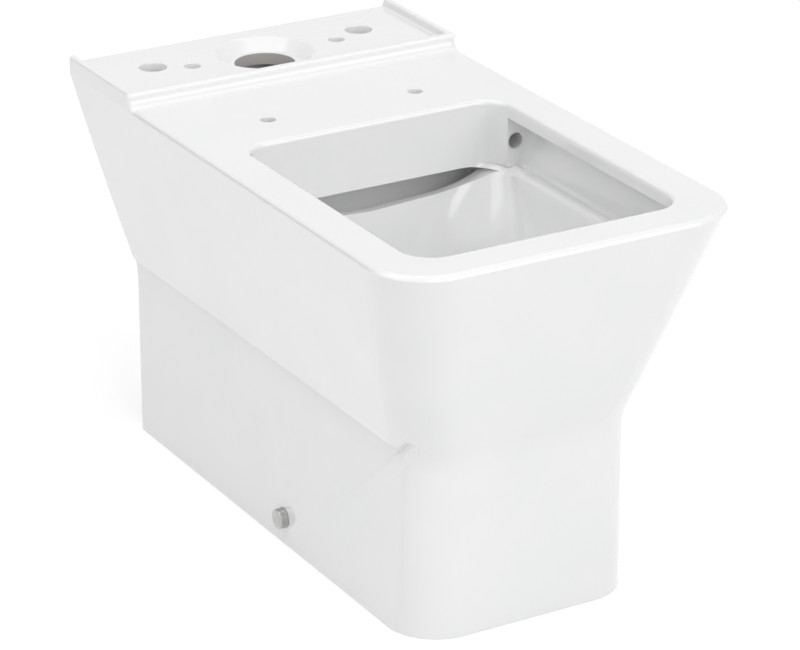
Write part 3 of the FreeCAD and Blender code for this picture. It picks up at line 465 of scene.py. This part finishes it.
class TOILET_OT_caps(bpy.types.Operator):
    """Make the two pull-off caps of the side fixings"""
    bl_idname = "toilet.caps"
    bl_label = "Make the fixing caps"

    def execute(self, context):
        fixing = context.scene.toilet_fixing
        mat = fixing_material("Satin plating", fixing)
        first = self.make_cap(fixing)
        second = first.copy()
        second.data = first.data.copy()
        context.scene.collection.objects.link(second)
        only(second)
        bpy.ops.transform.mirror(constraint_axis=(True, False, False), center_override=(0, 0, 0))
        bpy.ops.object.transform_apply(location=True, rotation=True, scale=True)
        bpy.ops.object.mode_set(mode="EDIT")
        bpy.ops.mesh.select_all(action="SELECT")
        bpy.ops.mesh.normals_make_consistent(inside=False)
        bpy.ops.object.mode_set(mode="OBJECT")
        for side, cap in zip(SIDES, (first, second)):
            cap.name = f"{side}_pull_cap"
            finish_piece(cap, mat, CAP_CREASE)
            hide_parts(f"{side}_fixing_cap")
            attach(cap, f"{side}_cap")
        return {"FINISHED"}

    def cap_profile(self, fixing, face, back, radius):
        """Places along the axis and radii: the inside, the beaded foot, the side, the edge."""
        wall, edge = fixing.cap_wall, fixing.cap_edge
        chamfer, step = BEAD_CHAMFER * wall, BEAD_HEIGHT * wall
        neck = radius - step
        profile = [(face + wall, radius - wall), (back, radius - wall), (back, radius - chamfer),
                   (back - chamfer, radius), (back - fixing.bead, radius),
                   (back - fixing.bead - step, neck), (face + edge, neck)]
        for i in range(1, CAP_EDGE_STEPS + 1):
            angle = math.radians(90 * i / CAP_EDGE_STEPS)
            profile.append((face + edge * (1 - math.sin(angle)),
                            neck - edge * (1 - math.cos(angle))))
        return profile

    def make_cap(self, fixing):
        """A turned cup with a domed face, made from its inner face outwards."""
        low, high = (Vector(corner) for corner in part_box("left_fixing_cap"))
        centre = (low + high) / 2
        profile = self.cap_profile(fixing, low.x, high.x, (high.z - low.z) / 2)
        bpy.ops.object.select_all(action="DESELECT")
        x, size = profile[0]
        bpy.ops.mesh.primitive_circle_add(
            vertices=CAP_CORNERS, radius=size, fill_type="NGON",
            location=(x, centre.y, centre.z), rotation=(0, math.radians(90), 0))
        cap = bpy.context.object
        bpy.ops.object.mode_set(mode="EDIT")
        bpy.ops.mesh.select_all(action="SELECT")
        for next_x, next_size in profile[1:]:
            bpy.ops.mesh.extrude_region_move(
                TRANSFORM_OT_translate={"value": (next_x - x, 0, 0)})
            scale = next_size / size
            bpy.ops.transform.resize(value=(1, scale, scale),
                                     center_override=(next_x, centre.y, centre.z))
            x, size = next_x, next_size
        for width, rise in CAP_DOME:
            bpy.ops.mesh.inset(thickness=width)
            bpy.ops.transform.translate(value=(-rise, 0, 0))
        bpy.ops.mesh.select_mode(type="EDGE")
        bpy.ops.mesh.select_all(action="DESELECT")
        bpy.ops.mesh.select_non_manifold()
        bpy.ops.mesh.edge_face_add()
        bpy.ops.mesh.inset(thickness=INNER_RING)
        bpy.ops.mesh.select_all(action="SELECT")
        bpy.ops.mesh.normals_make_consistent(inside=False)
        bpy.ops.object.mode_set(mode="OBJECT")
        return cap


class TOILET_OT_hardware(bpy.types.Operator):
    """Finish the screws, washers, nuts, bushes and brackets behind the caps"""
    bl_idname = "toilet.hardware"
    bl_label = "Finish the hidden fixings"

    def execute(self, context):
        for name, parts in HIDDEN_FIXINGS.items():
            mat = fixing_material(name, context.scene.toilet_fixing)
            for side in SIDES:
                for part in parts:
                    node = NODES[f"{side}_{part}"]
                    node.data.materials.clear()
                    node.data.materials.append(mat)
        return {"FINISHED"}


class TOILET_OT_stage(bpy.types.Operator):
    """Set up the floor, the lamps and the camera"""
    bl_idname = "toilet.stage"
    bl_label = "Set the stage"

    def execute(self, context):
        stage = context.scene.toilet_stage
        bpy.ops.object.select_all(action="DESELECT")
        bpy.ops.mesh.primitive_plane_add(size=stage.floor_size, location=(0, 0, -FLOOR_DROP))
        floor = context.object
        floor.name = "Floor"
        floor.data.materials.append(self.floor_material())
        self.add_dark_card(stage)
        for name, place, size, power in LAMPS:
            bpy.ops.object.light_add(type="AREA", location=place)
            lamp = context.object
            lamp.name = name
            lamp.data.shape = "RECTANGLE"
            lamp.data.size, lamp.data.size_y = size
            lamp.data.energy = getattr(stage, power)
            facing = LAMP_AIM - Vector(place)
            lamp.rotation_euler = facing.to_track_quat("-Z", "Y").to_euler()
        context.scene.world = self.room(stage.room_light)
        bpy.ops.object.camera_add(
            location=stage.camera_place,
            rotation=(math.radians(90) - stage.camera_tilt, 0, -stage.camera_turn))
        camera = context.object
        camera.data.sensor_width = SENSOR_WIDTH
        camera.data.lens = stage.lens
        camera.data.clip_end = VIEW_DEPTH
        context.scene.camera = camera
        context.scene.view_settings.view_transform = "Standard"
        return {"FINISHED"}

    def add_dark_card(self, stage):
        """Black card, seen only by reflection, that draws the rounded top edges."""
        facing = CARD_AIM - Vector(stage.card_place)
        bpy.ops.mesh.primitive_plane_add(
            size=1, location=stage.card_place,
            rotation=facing.to_track_quat("Z", "Y").to_euler())
        card = bpy.context.object
        card.name = "Dark card"
        card.scale = (*stage.card_size, 1)
        card.visible_camera = False
        mat, _, shader = new_material("Dark card")
        shader.inputs["Base Color"].default_value = CARD_COLOR
        shader.inputs["Roughness"].default_value = MATT
        card.data.materials.append(mat)

    def floor_material(self):
        """Pale floor that keeps the pan's shadow; a glow that only the camera and mirrors see
        shows it white."""
        mat, tree, shader = new_material("Pale floor")
        shader.inputs["Base Color"].default_value = FLOOR_COLOR
        shader.inputs["Roughness"].default_value = MATT
        shader.inputs["Specular IOR Level"].default_value = 0.0
        seen = directly_seen(tree, (-300, 300))
        strength = math_node(tree, "MULTIPLY", (100, 140), seen, FLOOR_GLOW)
        glow = add_node(tree, "ShaderNodeEmission", (100, 300))
        tree.links.new(strength, glow.inputs["Strength"])
        both = add_node(tree, "ShaderNodeAddShader", (300, 300))
        set_inputs(tree, both.inputs, (shader.outputs[0], glow.outputs[0]))
        tree.links.new(both.outputs[0], tree.nodes["Material Output"].inputs["Surface"])
        return mat

    def room(self, strength):
        """Even light from all round, white where it is seen directly."""
        world = bpy.data.worlds.new("Studio")
        world.use_nodes = True
        tree = world.node_tree
        back = tree.nodes["Background"]
        seen = directly_seen(tree, (-900, 0))
        level = value_range(tree, seen, (strength, 1.0), (-400, 0), (0.0, 1.0))
        tree.links.new(level, back.inputs["Strength"])
        back.inputs["Color"].default_value = (1, 1, 1, 1)
        return world


class TOILET_PT_panel(bpy.types.Panel):
    """Shows a button for each step that makes the toilet"""
    bl_label = "Rimless toilet pan"
    bl_idname = "TOILET_PT_panel"
    bl_space_type = "VIEW_3D"
    bl_region_type = "UI"
    bl_category = "Toilet"

    def draw(self, context):
        for operator in OPERATORS:
            self.layout.operator(operator.bl_idname)


SETTINGS = {"toilet_glaze": GlazeSettings, "toilet_fixing": FixingSettings,
            "toilet_stage": StageSettings}
OPERATORS = (TOILET_OT_glaze, TOILET_OT_caps, TOILET_OT_hardware, TOILET_OT_stage)
CLASSES = (*SETTINGS.values(), *OPERATORS, TOILET_PT_panel)


def register():
    """Add the classes, and the settings to the scene."""
    for cls in CLASSES:
        bpy.utils.register_class(cls)
    for name, group in SETTINGS.items():
        setattr(bpy.types.Scene, name, bpy.props.PointerProperty(type=group))


def unregister():
    """Take the settings and the classes away again."""
    for name in SETTINGS:
        delattr(bpy.types.Scene, name)
    for cls in reversed(CLASSES):
        bpy.utils.unregister_class(cls)


def main():
    """Register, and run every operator."""
    register()
    bpy.ops.toilet.glaze()
    bpy.ops.toilet.caps()
    bpy.ops.toilet.hardware()
    bpy.ops.toilet.stage()


if __name__ == "__main__":
    main()
